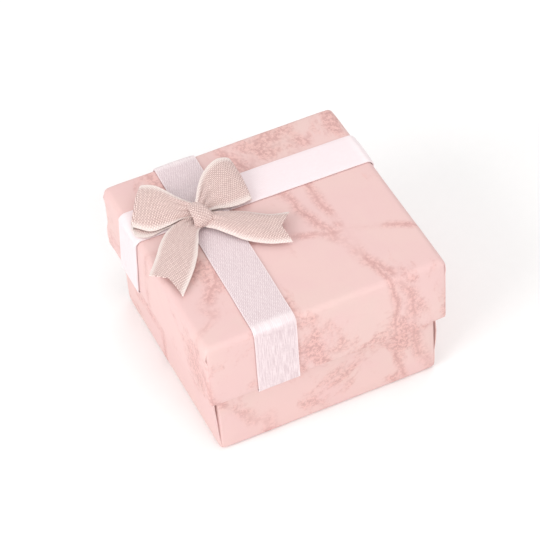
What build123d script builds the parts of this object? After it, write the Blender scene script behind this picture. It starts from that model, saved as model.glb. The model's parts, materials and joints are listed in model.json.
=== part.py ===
"""Jewellery gift box: a paper-wrapped board base, a lift-off lid with two satin ribbons and a tied bow,
and a foam insert faced with velvet.

Millimetres. +Z is up, the origin is the middle of the underside, and -Y is the front.
"""

import os
from math import cos, radians, sin

from build123d import *

# Outside of the closed box, over the paper
LID_SIZE = 52.0
BOX_HEIGHT = 32.0
LID_DEPTH = 16.2
LID_PLAY = 0.4  # from the turned-in paper of the lid to the paper of the base, on each side

# Sheet materials
BOARD = 1.0
PAPER = 0.15
LINER = 0.12
TAPE = 0.1  # the corner tape lies in a glue layer of the same thickness
TURN_IN = 8.0  # paper folded over the rim and pasted inside
SLIT = 0.1  # between two flaps of a folded board where they meet at a corner
EDGE_RADIUS = 1.3  # over the paper, along the folds of the board
CORNER_RADIUS = 1.0  # over the paper, at the upright corners

WRAP_AND_BOARD = PAPER + TAPE + BOARD + PAPER
BASE_SIZE = LID_SIZE - 2 * (WRAP_AND_BOARD + LID_PLAY)
LID_RIM = BOX_HEIGHT - LID_DEPTH
LID_CEILING = BOX_HEIGHT - PAPER - BOARD - LINER
RIM_GAP = 0.05  # between the rim of the base and the ceiling of the lid
BASE_HEIGHT = LID_CEILING - RIM_GAP
BASE_FLOOR = PAPER + BOARD + LINER

# Corner tape
STAY_LEG = 9.0
STAY_MARGIN = 1.5  # from the fold and from the rim

# Foam insert
INSERT_PLAY = 0.15
INSERT_SIZE = BASE_SIZE - 2 * WRAP_AND_BOARD - 2 * INSERT_PLAY
INSERT_FLOOR = BASE_FLOOR + 0.05
FOAM_HEIGHT = 19.4
VELVET = 0.6
SLOT_LENGTH = 24.0
SLOT_WIDTH = 2.4
SLOT_DEPTH = 12.0
SLIT_LENGTH = 8.0
SLIT_WIDTH = 1.2
SLIT_DEPTH = 6.0
SLIT_OFFSET = 15.0  # of the middle of each chain slit from the middle of the insert

# Ribbons on the lid
RIBBON = 0.25
RIBBON_WIDTH = 9.0
RIBBON_TUCK = 8.0  # length glued inside the skirt of the lid
CROSS_X = -10.9  # middle of the ribbon that runs front to back
LONG_Y = 11.6  # middle of the ribbon that runs left to right
RAMP = 1.0  # length over which the upper ribbon climbs onto the lower one
RIBBONS_TOP = BOX_HEIGHT + 2 * RIBBON

# Bow, tied from the same width of ribbon. Distances along a loop or tail start at the middle of the knot.
BOW_X = -12.3
BOW_Y = 7.2
BOW_RIBBON = 0.35
GLUE_RADIUS = 1.5
GLUE_HEIGHT = 0.5
GLUE_Y = 8.7
KNOT_SIZE = (4.6, 6.6, 3.0)
KNOT_RADIUS = 1.2
KNOT_FLOOR = RIBBONS_TOP + GLUE_HEIGHT
BOW_GAP = 0.1  # from the ribbons on the lid up to the bow
BOW_FLOOR = RIBBONS_TOP + BOW_GAP
WAIST_HALF = 1.7  # half the width of the ribbon where it enters the knot
LEFT_LOOP_ANGLE = 142.0
RIGHT_LOOP_ANGLE = 20.0
LOOP_START = 1.2
LOOP_SPREAD = 6.0  # where the loop is almost at its full width
LOOP_FOOT = 7.6  # where the lower layer comes down to the lid
LOOP_SHOULDER = 5.2  # where the upper layer is almost at its full height
LOOP_LENGTH = 12.6
LOOP_HEIGHT = 4.4
LOOP_DROP = 0.4  # from the crest of the upper layer down to its shoulder
LOOP_WAIST = 1.35  # of the lower layer above the underside of the knot
LOOP_MOUTH = 1.2  # height of the loop where it enters the knot
LOOP_EDGE_DIP = 0.5  # how far each edge is drawn in at LOOP_SPREAD
LOOP_RADII = (1.9, 2, 0.55, 0.55, 4, 1.9)  # at the fold, the foot, the mouth twice, the shoulder and the fold
LEFT_TAIL_ANGLE = 227.5
RIGHT_TAIL_ANGLE = 321.0
TAIL_START = 1.8
TAIL_SPREAD = 8.0
TAIL_FOOT = 4.6
TAIL_WAVE = 12.0  # where the tail stands highest off the lid
TAIL_WAVE_HEIGHT = 0.5
TAIL_TIP_HEIGHT = 0.3
TAIL_WAIST = 0.2
TAIL_LENGTH = 19.3
TAIL_NOTCH = 1.6
TAIL_EDGE_DIP = 0.4
TAIL_SLOPES = ((1, -0.3), (1, -0.05))  # of the ribbon as it leaves the knot and at its tip

# Blanks of the two boards and their liners
BASE_BOARD_SIZE = BASE_SIZE - 2 * (PAPER + TAPE)
BASE_BOARD_HEIGHT = BASE_HEIGHT - 2 * PAPER
LID_BOARD_SIZE = LID_SIZE - 2 * (PAPER + TAPE)
LID_BOARD_HEIGHT = LID_DEPTH - 2 * PAPER
LINER_PLAY = 0.3  # a liner is this much smaller than the inside of its tray


def rounded_block(size, height, radius, edge_radius):
    """A square block from Z = 0 with rounded upright edges and a rounded foot."""
    with BuildPart() as block:
        with BuildSketch():
            Rectangle(size, size)
        extrude(amount=height)
        fillet(block.edges().filter_by(Axis.Z), radius)
        fillet(block.faces().sort_by(Axis.Z)[0].edges(), edge_radius)
    return block.part


def folded_board(size, height):
    """A board blank folded into a tray with its floor on Z = 0. Its flaps butt at the corners."""
    inside = size - 2 * BOARD
    cover = PAPER + TAPE
    with BuildPart() as tray:
        add(rounded_block(size, height, CORNER_RADIUS - cover, EDGE_RADIUS - cover))
        with BuildSketch(Plane.XY.offset(BOARD)):
            Rectangle(inside, inside)
            with GridLocations(size - BOARD, inside - SLIT, 2, 2):
                Rectangle(BOARD, SLIT)
        extrude(amount=height - BOARD, mode=Mode.SUBTRACT)
    return tray.part


def corner_stays(size, low, high):
    """Four strips of tape folded round the upright corners of a board tray of that size."""
    radius = CORNER_RADIUS - PAPER
    between = size - 2 * STAY_LEG
    with BuildPart() as stays:
        with BuildSketch(Plane.XY.offset(low)):
            RectangleRounded(size + 2 * TAPE, size + 2 * TAPE, radius)
            RectangleRounded(size, size, radius - TAPE, mode=Mode.SUBTRACT)
            Rectangle(between, 2 * size, mode=Mode.SUBTRACT)
            Rectangle(2 * size, between, mode=Mode.SUBTRACT)
        extrude(amount=high - low)
    return stays.part


def paper_wrap(size, height):
    """One sheet of paper pasted over a tray that opens upwards, folded over the rim and down inside it."""
    inside = size - 2 * WRAP_AND_BOARD + 2 * PAPER
    hollow = rounded_block(size - 2 * PAPER, height - 2 * PAPER, CORNER_RADIUS - PAPER, EDGE_RADIUS - PAPER)
    with BuildPart() as wrap:
        add(rounded_block(size, height, CORNER_RADIUS, EDGE_RADIUS))
        add(hollow.moved(Location((0, 0, PAPER))), mode=Mode.SUBTRACT)
        with BuildSketch(Plane.XY.offset(height)):
            Rectangle(inside, inside)
            Rectangle(inside - 2 * PAPER, inside - 2 * PAPER, mode=Mode.SUBTRACT)
        extrude(amount=-TURN_IN)
        with BuildSketch(Plane.XY.offset(height)):
            Rectangle(inside - 2 * PAPER, inside - 2 * PAPER)
        extrude(amount=-TURN_IN, mode=Mode.SUBTRACT)
    return wrap.part


def turned_over(part):
    """A tray that opens upwards from Z = 0, as a lid whose top is at the height of the box."""
    return mirror(part, about=Plane.XY).moved(Location((0, 0, BOX_HEIGHT)))


def liner_sheet(size, low):
    """A square of white paper pasted inside a tray."""
    with BuildPart() as sheet:
        with BuildSketch(Plane.XY.offset(low)):
            Rectangle(size, size)
        extrude(amount=LINER)
    return sheet.part


def chain_slits(mode=Mode.ADD):
    """Two short slits across the back corners of the insert, on the open sketch."""
    for side in (-1, 1):
        with Locations(Location((side * SLIT_OFFSET, SLIT_OFFSET), side * 45)):
            SlotOverall(SLIT_LENGTH, SLIT_WIDTH, mode=mode)


def insert_foam():
    """The foam block, with blind cuts for a ring and for a chain."""
    face = Plane.XY.offset(INSERT_FLOOR + FOAM_HEIGHT)
    with BuildPart() as foam:
        with BuildSketch(face):
            Rectangle(INSERT_SIZE, INSERT_SIZE)
        extrude(amount=-FOAM_HEIGHT)
        with BuildSketch(face):
            SlotOverall(SLOT_LENGTH, SLOT_WIDTH)
        extrude(amount=-SLOT_DEPTH, mode=Mode.SUBTRACT)
        with BuildSketch(face):
            chain_slits()
        extrude(amount=-SLIT_DEPTH, mode=Mode.SUBTRACT)
    return foam.part


def insert_velvet():
    """The velvet face bonded to the foam and cut through at the slot and slits."""
    with BuildPart() as velvet:
        with BuildSketch(Plane.XY.offset(INSERT_FLOOR + FOAM_HEIGHT)):
            Rectangle(INSERT_SIZE, INSERT_SIZE)
            SlotOverall(SLOT_LENGTH, SLOT_WIDTH, mode=Mode.SUBTRACT)
            chain_slits(Mode.SUBTRACT)
        extrude(amount=VELVET)
    return velvet.part


def ribbon_profile(hump_middle=None):
    """Closed section of a ribbon round the lid, across the open sketch: X is the way it runs and Y is up."""
    half = LID_SIZE / 2
    low = LID_RIM - RIBBON
    tuck = LID_SIZE / 2 - WRAP_AND_BOARD
    with BuildSketch(mode=Mode.PRIVATE) as around:
        with Locations((0, (low + BOX_HEIGHT + RIBBON) / 2)):
            Rectangle(2 * (half + RIBBON), BOX_HEIGHT + RIBBON - low)
        fillet(around.vertices().group_by(Axis.Y)[-1], EDGE_RADIUS + RIBBON)
    with BuildSketch(mode=Mode.PRIVATE) as lid:
        with Locations((0, (LID_RIM + BOX_HEIGHT) / 2)):
            Rectangle(2 * half, BOX_HEIGHT - LID_RIM)
        fillet(lid.vertices().group_by(Axis.Y)[-1], EDGE_RADIUS)
    add(around.sketch)
    add(lid.sketch, mode=Mode.SUBTRACT)
    with Locations((0, LID_RIM)):
        Rectangle(2 * (tuck - RIBBON), 2 * RIBBON, mode=Mode.SUBTRACT)
    with GridLocations(2 * tuck - RIBBON, 0, 2, 1), Locations((0, LID_RIM + RIBBON_TUCK / 2)):
        Rectangle(RIBBON, RIBBON_TUCK)
    if hump_middle is not None:
        flat = RIBBON_WIDTH / 2
        foot = flat + RAMP
        with Locations((hump_middle, BOX_HEIGHT)):
            Polygon((-foot, RIBBON), (-flat, 2 * RIBBON), (flat, 2 * RIBBON), (foot, RIBBON),
                    (foot, 0), (-foot, 0), align=None)
            Polygon((-foot, 0), (-flat, RIBBON), (flat, RIBBON), (foot, 0), align=None, mode=Mode.SUBTRACT)


def ribbon_long():
    """The lower ribbon, left to right over the lid."""
    with BuildPart() as ribbon:
        with BuildSketch(Plane.XZ.offset(-LONG_Y)):
            ribbon_profile()
        extrude(amount=RIBBON_WIDTH / 2, both=True)
    return ribbon.part


def ribbon_cross():
    """The upper ribbon, front to back over the lid, with a step where it crosses the lower one."""
    with BuildPart() as ribbon:
        with BuildSketch(Plane.YZ.offset(CROSS_X)):
            ribbon_profile(hump_middle=LONG_Y)
        extrude(amount=RIBBON_WIDTH / 2, both=True)
    return ribbon.part


def bow_glue():
    """The dot of hot glue between the ribbons and the bow."""
    with BuildPart() as dot:
        with BuildSketch(Plane.XY.offset(RIBBONS_TOP)):
            with Locations((BOW_X, GLUE_Y)):
                Circle(GLUE_RADIUS)
        extrude(amount=GLUE_HEIGHT)
    return dot.part


def bow_knot():
    """The knot: a soft band of ribbon drawn tight round the waist of the bow."""
    width, length, height = KNOT_SIZE
    with BuildPart() as knot:
        with Locations((BOW_X, BOW_Y, KNOT_FLOOR + height / 2)):
            Box(width, length, height)
        fillet(knot.edges(), KNOT_RADIUS)
    return knot.part


def bow_side(angle):
    """Upright plane along one loop or tail, through the middle of the knot: X runs outwards and Y is up."""
    turn = radians(angle)
    return Plane(origin=(BOW_X, BOW_Y, 0), x_dir=(cos(turn), sin(turn), 0), z_dir=(sin(turn), -cos(turn), 0))


def bow_plan(angle):
    """Level plane under the bow, turned to one loop or tail."""
    turn = radians(angle)
    return Plane(origin=(BOW_X, BOW_Y, BOX_HEIGHT), x_dir=(cos(turn), sin(turn), 0), z_dir=(0, 0, 1))


def bow_loop(angle):
    """A loop of ribbon, pinched at the knot and open at both sides."""
    waist = KNOT_FLOOR + LOOP_WAIST
    high = BOW_FLOOR + LOOP_HEIGHT
    full = RIBBON_WIDTH / 2
    drawn_in = full - LOOP_EDGE_DIP
    with BuildPart() as loop:
        with BuildSketch(bow_side(angle)):
            with BuildLine():
                FilletPolyline(
                    (LOOP_LENGTH, BOW_FLOOR), (LOOP_FOOT, BOW_FLOOR), (LOOP_START, waist),
                    (LOOP_START, waist + LOOP_MOUTH), (LOOP_SHOULDER, high - LOOP_DROP),
                    (LOOP_LENGTH - 1, high), radius=LOOP_RADII, close=True,
                )
            make_face()
            offset(amount=-BOW_RIBBON, kind=Kind.INTERSECTION, mode=Mode.SUBTRACT)
        extrude(amount=full, both=True)
        with BuildSketch(bow_plan(angle)):
            with BuildLine():
                Polyline(
                    (LOOP_START, -WAIST_HALF), (LOOP_SPREAD, -drawn_in), (LOOP_LENGTH, -full),
                    (LOOP_LENGTH, full), (LOOP_SPREAD, drawn_in), (LOOP_START, WAIST_HALF), close=True,
                )
            make_face()
        extrude(amount=LOOP_HEIGHT + RIBBONS_TOP - BOX_HEIGHT + 1, mode=Mode.INTERSECT)
    return loop.part


def tail_line(rise):
    """Points along a tail from the knot to its tip: distance from the knot, height of the ribbon's face."""
    low = BOW_FLOOR + rise
    return (
        (TAIL_START, KNOT_FLOOR + TAIL_WAIST + rise),
        (TAIL_FOOT, low),
        (TAIL_WAVE, low + TAIL_WAVE_HEIGHT),
        (TAIL_LENGTH, low + TAIL_TIP_HEIGHT),
    )


def bow_tail(angle):
    """A free end of the ribbon, falling from the knot to lie along the lid, with a fishtail cut."""
    full = RIBBON_WIDTH / 2
    drawn_in = full - TAIL_EDGE_DIP
    with BuildPart() as tail:
        with BuildSketch(bow_side(angle)):
            with BuildLine():
                under = Spline(tail_line(0), tangents=TAIL_SLOPES)
                over = Spline(tail_line(BOW_RIBBON), tangents=TAIL_SLOPES)
                Line(under @ 0, over @ 0)
                Line(under @ 1, over @ 1)
            make_face()
        extrude(amount=full, both=True)
        with BuildSketch(bow_plan(angle)):
            with BuildLine():
                Polyline(
                    (TAIL_START, -WAIST_HALF), (TAIL_SPREAD, -drawn_in), (TAIL_LENGTH, -full),
                    (TAIL_LENGTH - TAIL_NOTCH, 0), (TAIL_LENGTH, full), (TAIL_SPREAD, drawn_in),
                    (TAIL_START, WAIST_HALF), close=True,
                )
            make_face()
        extrude(amount=LOOP_HEIGHT, mode=Mode.INTERSECT)
    return tail.part


PIECES = {
    "base_board": folded_board(BASE_BOARD_SIZE, BASE_BOARD_HEIGHT).moved(Location((0, 0, PAPER))),
    "base_corner_stays": corner_stays(BASE_BOARD_SIZE, PAPER + STAY_MARGIN, BASE_HEIGHT - STAY_MARGIN),
    "base_wrap": paper_wrap(BASE_SIZE, BASE_HEIGHT),
    "base_liner": liner_sheet(BASE_BOARD_SIZE - 2 * BOARD - LINER_PLAY, PAPER + BOARD),
    "insert_foam": insert_foam(),
    "insert_velvet": insert_velvet(),
    "lid_board": turned_over(folded_board(LID_BOARD_SIZE, LID_BOARD_HEIGHT).moved(Location((0, 0, PAPER)))),
    "lid_corner_stays": turned_over(
        corner_stays(LID_BOARD_SIZE, PAPER + STAY_MARGIN, LID_DEPTH - STAY_MARGIN)
    ),
    "lid_wrap": turned_over(paper_wrap(LID_SIZE, LID_DEPTH)),
    "lid_liner": liner_sheet(LID_BOARD_SIZE - 2 * BOARD - LINER_PLAY, LID_CEILING),
    "ribbon_long": ribbon_long(),
    "ribbon_cross": ribbon_cross(),
    "bow_glue": bow_glue(),
    "bow_knot": bow_knot(),
    "bow_left_loop": bow_loop(LEFT_LOOP_ANGLE),
    "bow_right_loop": bow_loop(RIGHT_LOOP_ANGLE),
    "bow_left_tail": bow_tail(LEFT_TAIL_ANGLE),
    "bow_right_tail": bow_tail(RIGHT_TAIL_ANGLE),
}

os.makedirs("parts", exist_ok=True)
for name, piece in PIECES.items():
    piece.label = name
    export_step(piece, f"parts/{name}.step")
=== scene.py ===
"""The looks of the jewellery gift box: marbled paper, satin ribbons, a tied bow and a velvet-faced insert.

Shapes are worked out in millimetres in the row frame, and written to meshes in metres.
"""

import json
import math

import bpy
import numpy as np
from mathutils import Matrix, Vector, geometry, noise


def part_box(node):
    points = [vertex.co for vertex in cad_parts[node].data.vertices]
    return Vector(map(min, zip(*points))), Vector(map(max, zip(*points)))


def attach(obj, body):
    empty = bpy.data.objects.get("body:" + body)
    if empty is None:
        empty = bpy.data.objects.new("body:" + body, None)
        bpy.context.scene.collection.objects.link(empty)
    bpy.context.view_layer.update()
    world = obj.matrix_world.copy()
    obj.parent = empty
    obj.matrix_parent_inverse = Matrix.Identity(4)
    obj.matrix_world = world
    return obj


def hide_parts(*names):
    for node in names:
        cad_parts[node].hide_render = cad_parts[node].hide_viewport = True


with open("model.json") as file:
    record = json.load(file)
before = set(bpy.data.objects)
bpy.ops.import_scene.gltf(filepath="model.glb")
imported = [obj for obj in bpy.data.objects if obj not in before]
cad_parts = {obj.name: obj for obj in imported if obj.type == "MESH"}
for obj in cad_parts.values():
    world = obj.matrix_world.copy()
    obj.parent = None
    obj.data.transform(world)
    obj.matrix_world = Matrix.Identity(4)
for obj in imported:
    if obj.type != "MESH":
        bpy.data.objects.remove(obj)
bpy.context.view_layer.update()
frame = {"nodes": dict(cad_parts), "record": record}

MM = 0.001

# Sheets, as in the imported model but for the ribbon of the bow, which is a little thinner here
PAPER = 0.15
RIBBON = 0.25
RIBBON_WIDTH = 9.0
BOW_RIBBON = 0.3
TURN_IN = 8.0


def box_mm(node):
    """Lowest and highest corner of a CAD node, in millimetres."""
    low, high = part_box(node)
    return np.array(low) / MM, np.array(high) / MM


LID_LOW, LID_HIGH = box_mm("lid_wrap")
BASE_LOW, BASE_HIGH = box_mm("base_wrap")
LID_TOP = LID_HIGH[2]
LID_RIM = LID_LOW[2]
KNOT_LOW, KNOT_HIGH = box_mm("bow_knot")
KNOT = (KNOT_LOW + KNOT_HIGH) / 2
BOARD_AND_WRAP = 1.4  # outer paper, tape, board and turned-in paper


# ---------------------------------------------------------------- camera, floor and lights

CAMERA_AZIMUTH = -21.53
CAMERA_ELEVATION = 45.2
CAMERA_ROLL = -4.8
CAMERA_DISTANCE = 0.514
CAMERA_AIM = (0.0001, 0.0027, 0.0161)
CAMERA_LENS = 166.67

WORLD_COLOUR = (1.0, 0.992, 0.985, 1)
WORLD_STRENGTH = 0.70
LIGHT_AIM = (0, 0, 0.016)  # the middle of the box
LIGHTS = {  # azimuth, elevation, distance, size and watts
    "key_left": (-72, 30, 0.7, 0.42, 2.15),
    "fill_front": (4, 34, 0.8, 0.42, 1.45),
    "back_right": (140, 50, 0.8, 0.4, 0.6),
    "overhead": (20, 80, 0.8, 0.22, 0.6),
}
FLOOR_REACH = 3.0


def direction(azimuth, elevation):
    """Unit vector from the object towards something at that azimuth (0 is the front) and elevation."""
    a, e = math.radians(azimuth), math.radians(elevation)
    return Vector((math.sin(a) * math.cos(e), -math.cos(a) * math.cos(e), math.sin(e)))


def make_camera():
    data = bpy.data.cameras.new("camera")
    data.lens = CAMERA_LENS
    data.sensor_width = 36.0
    data.clip_start, data.clip_end = 0.01, 10.0
    camera = bpy.data.objects.new("camera", data)
    bpy.context.scene.collection.objects.link(camera)
    back = direction(CAMERA_AZIMUTH, CAMERA_ELEVATION)
    camera.location = Vector(CAMERA_AIM) + back * CAMERA_DISTANCE
    camera.rotation_euler = (-back).to_track_quat("-Z", "Y").to_euler()
    camera.rotation_euler.rotate_axis("Z", math.radians(CAMERA_ROLL))
    bpy.context.scene.camera = camera


def area_light(name, azimuth, elevation, distance, size, watts):
    """A soft square light aimed at the middle of the box."""
    data = bpy.data.lights.new(name, "AREA")
    data.shape = "SQUARE"
    data.size = size
    data.energy = watts
    light = bpy.data.objects.new(name, data)
    bpy.context.scene.collection.objects.link(light)
    back = direction(azimuth, elevation)
    light.location = Vector(LIGHT_AIM) + back * distance
    light.rotation_euler = (-back).to_track_quat("-Z", "Y").to_euler()


def make_studio():
    world = bpy.data.worlds.new("studio")
    world.use_nodes = True
    background = world.node_tree.nodes["Background"]
    background.inputs["Color"].default_value = WORLD_COLOUR
    background.inputs["Strength"].default_value = WORLD_STRENGTH
    bpy.context.scene.world = world
    bpy.context.scene.view_settings.view_transform = "Standard"
    for name, values in LIGHTS.items():
        area_light(name, *values)
    mesh = bpy.data.meshes.new("floor")
    corners = [(x * FLOOR_REACH, y * FLOOR_REACH, 0) for x, y in ((-1, -1), (1, -1), (1, 1), (-1, 1))]
    mesh.from_pydata(corners, [], [(0, 1, 2, 3)])
    floor = bpy.data.objects.new("floor", mesh)
    bpy.context.scene.collection.objects.link(floor)
    mesh.materials.append(floor_material())


# ---------------------------------------------------------------- materials


class Shader:
    """A node material. Its methods add nodes and give back a socket to feed to the next one."""

    def __init__(self, name, **surface):
        self.material = bpy.data.materials.new(name)
        self.material.use_nodes = True
        self.tree = self.material.node_tree
        self.surface = self.tree.nodes["Principled BSDF"]
        for socket, value in surface.items():
            self.surface.inputs[socket.replace("_", " ")].default_value = value

    def node(self, kind, inputs=(), **properties):
        made = self.tree.nodes.new("ShaderNode" + kind)
        for key, value in properties.items():
            setattr(made, key, value)
        for socket, value in dict(inputs).items():
            self.feed(made.inputs[socket], value)
        return made

    def feed(self, socket, value):
        if isinstance(value, bpy.types.NodeSocket):
            self.tree.links.new(value, socket)
        else:
            socket.default_value = value

    def place(self, scale=(1, 1, 1)):
        """Object coordinates, stretched."""
        source = self.node("TexCoord").outputs["Object"]
        return self.node("Mapping", {"Vector": source, "Scale": scale}).outputs["Vector"]

    def ribbon_place(self):
        """Millimetres along and across a ribbon."""
        source = self.node("UVMap", uv_map="ribbon").outputs["UV"]
        return self.node("Mapping", {"Vector": source, "Scale": (1000, 1000, 1)}).outputs["Vector"]

    def frayed(self, where, scale, reach):
        """The same places, each moved a little by noise, which feathers what is printed there."""
        jitter = self.node("TexNoise", {"Vector": where, "Scale": scale, "Detail": 4.0}).outputs["Color"]
        inputs = {0: jitter, 1: (reach, reach, reach), 2: where}
        return self.node("VectorMath", inputs, operation="MULTIPLY_ADD").outputs["Vector"]

    def noise(self, where, scale, detail=3.0, roughness=0.55, distortion=0.0):
        inputs = {"Vector": where, "Scale": scale, "Detail": detail, "Roughness": roughness}
        return self.node("TexNoise", {**inputs, "Distortion": distortion}).outputs["Fac"]

    def between(self, value, low, high, to_low=0.0, to_high=1.0):
        """A smooth ramp of value from low to high."""
        inputs = {"Value": value, "From Min": low, "From Max": high, "To Min": to_low, "To Max": to_high}
        return self.node("MapRange", inputs, interpolation_type="SMOOTHSTEP").outputs["Result"]

    def math(self, operation, first, second=0.0):
        return self.node("Math", {0: first, 1: second}, operation=operation).outputs["Value"]

    def mix(self, share, first, second):
        """First colour where share is 0 and second where it is 1."""
        made = self.node("Mix", {"Factor": share}, data_type="RGBA")
        first_colour, second_colour = made.inputs[6], made.inputs[7]
        self.feed(first_colour, first)
        self.feed(second_colour, second)
        return made.outputs[2]

    def bump(self, height, distance, strength=1.0, onto=None):
        inputs = {"Height": height, "Distance": distance, "Strength": strength}
        if onto is not None:
            inputs["Normal"] = onto
        return self.node("Bump", inputs).outputs["Normal"]

    def finish(self, colour, normal):
        self.feed(self.surface.inputs["Base Color"], colour)
        self.feed(self.surface.inputs["Normal"], normal)
        return self.material


def floor_material():
    shader = Shader("floor", Roughness=0.7)
    grain = shader.noise(shader.place(), 400, 2)
    colour = shader.mix(grain, (0.965, 0.965, 0.965, 1), (0.985, 0.985, 0.985, 1))
    return shader.finish(colour, shader.bump(grain, 0.00002))


PAPER_PALE = (0.775, 0.54, 0.515, 1)
PAPER_PINK = (0.77, 0.525, 0.51, 1)
PAPER_BEIGE = (0.75, 0.56, 0.515, 1)
PAPER_SALMON = (0.78, 0.43, 0.39, 1)
PAPER_ROSE = (0.40, 0.19, 0.185, 1)

# Long veins of the print: the normal of a plane, its distance from the origin and how far the vein wanders
# from it, in metres. The first two run from back to front over the right half and down the front.
VEIN_THREAD = 0.0005  # half the width of the darker thread along the middle of each
VEINS = (
    ((0.954, 0.301, 0.26), 0.0160, 0.008, 0.0026),
    ((1.0, 0.05, 0.12), 0.0163, 0.006, 0.0018),
    ((0.322, 0.947, 0.0), -0.0040, 0.008, 0.0018),
    ((0.80, -0.60, 0.35), 0.0040, 0.014, 0.0020),
)


def marbled_paper():
    """Matt pink paper printed with soft clouds, feathery veins and patches of fine specks."""
    shader = Shader("marbled_paper", Roughness=0.5, Specular_IOR_Level=0.35)
    flat = shader.place()
    rough = shader.frayed(flat, 260, 0.0011)
    mapping = {"Vector": rough, "Scale": (1.0, 0.5, 0.8), "Rotation": (0.3, 0.15, 0.35)}
    stretched = shader.node("Mapping", mapping).outputs["Vector"]

    clouds = shader.between(shader.noise(flat, 75, 4, 0.6, 0.5), 0.38, 0.62)
    beige = shader.between(shader.noise(rough, 48, 3, 0.55, 0.3), 0.50, 0.66)
    colour = shader.mix(clouds, PAPER_PALE, PAPER_PINK)
    colour = shader.mix(shader.math("MULTIPLY", beige, 0.5), colour, PAPER_BEIGE)

    wander = shader.math("SUBTRACT", shader.noise(flat, 62, 2, 0.5), 0.5)
    faint = shader.between(shader.noise(flat, 88, 3, 0.6), 0.38, 0.58, 0.12, 1.0)
    veins = threads = 0.0
    for normal, offset, reach, width in VEINS:
        distance = shader.node("VectorMath", {0: rough, 1: normal}, operation="DOT_PRODUCT").outputs["Value"]
        distance = shader.math("ADD", distance, shader.math("MULTIPLY", wander, reach))
        distance = shader.math("ABSOLUTE", shader.math("SUBTRACT", distance, offset))
        veins = shader.math("MAXIMUM", veins, shader.between(distance, width, 0.0))
        threads = shader.math("MAXIMUM", threads, shader.between(distance, VEIN_THREAD, 0.0))
    veins = shader.math("MULTIPLY", veins, faint)
    threads = shader.math("MULTIPLY", threads, faint)

    across, back, _ = shader.node("SeparateXYZ", {"Vector": flat}).outputs
    busy = shader.math("MULTIPLY", shader.between(back, 0.013, 0.019), shader.between(across, -0.008, 0.0))
    busy = shader.math("MULTIPLY", busy, 0.09)
    patches = shader.math("ADD", shader.noise(stretched, 70, 5, 0.68, 0.4), busy)
    patches = shader.between(patches, 0.52, 0.65)
    print_strength = shader.math("MAXIMUM", veins, patches)
    blush = shader.math("MULTIPLY", print_strength, 0.5)
    colour = shader.mix(blush, colour, PAPER_SALMON)

    specks = shader.between(shader.noise(flat, 1150, 4, 0.8), 0.45, 0.56)
    rose = shader.math("MULTIPLY", print_strength, specks)
    rose = shader.math("MAXIMUM", shader.math("MULTIPLY", rose, 0.46), shader.math("MULTIPLY", threads, 0.36))
    colour = shader.mix(rose, colour, PAPER_ROSE)
    fibres = shader.noise(flat, 2600, 3, 0.7)
    waves = shader.noise(flat, 160, 2)
    normal = shader.bump(waves, 0.00025, 0.5, shader.bump(fibres, 0.00003, 0.7))
    return shader.finish(colour, normal)


def plain_paper(name, pale, dark, scale=900):
    """Uncoated paper or board with fibres and specks."""
    shader = Shader(name, Roughness=0.8, Specular_IOR_Level=0.2)
    flat = shader.place()
    fibres = shader.noise(shader.place(scale=(1, 0.3, 1)), scale, 4, 0.7)
    specks = shader.between(shader.noise(flat, 1700, 2, 0.6), 0.62, 0.72)
    colour = shader.mix(fibres, pale, dark)
    colour = shader.mix(shader.math("MULTIPLY", specks, 0.35), colour, [0.6 * c for c in dark[:3]] + [1])
    return shader.finish(colour, shader.bump(fibres, 0.00004))


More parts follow.
